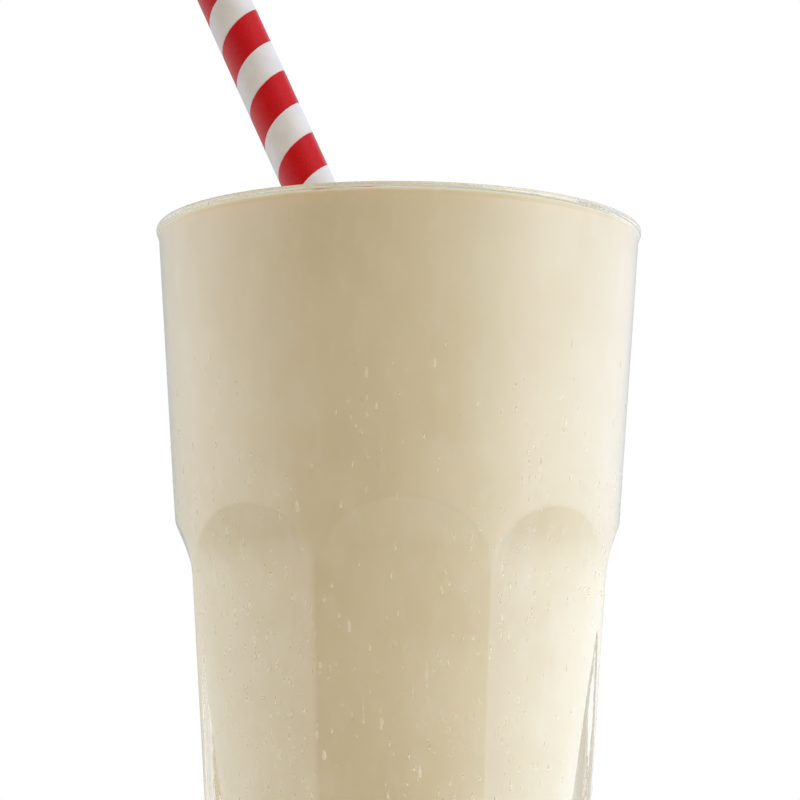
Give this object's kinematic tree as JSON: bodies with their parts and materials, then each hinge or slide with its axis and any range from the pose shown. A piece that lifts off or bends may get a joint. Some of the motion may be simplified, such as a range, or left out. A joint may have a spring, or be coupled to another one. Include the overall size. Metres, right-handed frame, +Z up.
{
  "type": "banana milkshake",
  "caption": "Tall pressed glass tumbler with arched side panels, filled nearly to the brim with pale banana milkshake, with a striped paper straw leaning on its rim.",
  "frame": {"origin": "middle of the glass's foot, on the plane it stands on", "axes": "+Z up along the glass's axis, -Y towards the front, +X to the right seen from the front"},
  "size_m": [0.0963, 0.1134, 0.2488],
  "materials": {
    "glass": "clear, fire-polished",
    "milkshake": "wet and smooth, pale creamy beige",
    "straw": "smooth paper with a red spiral stripe"
  },
  "bodies": {
    "root": {"glass": "glass", "milkshake": "milkshake", "straw": "straw"}
  },
  "joints": []
}
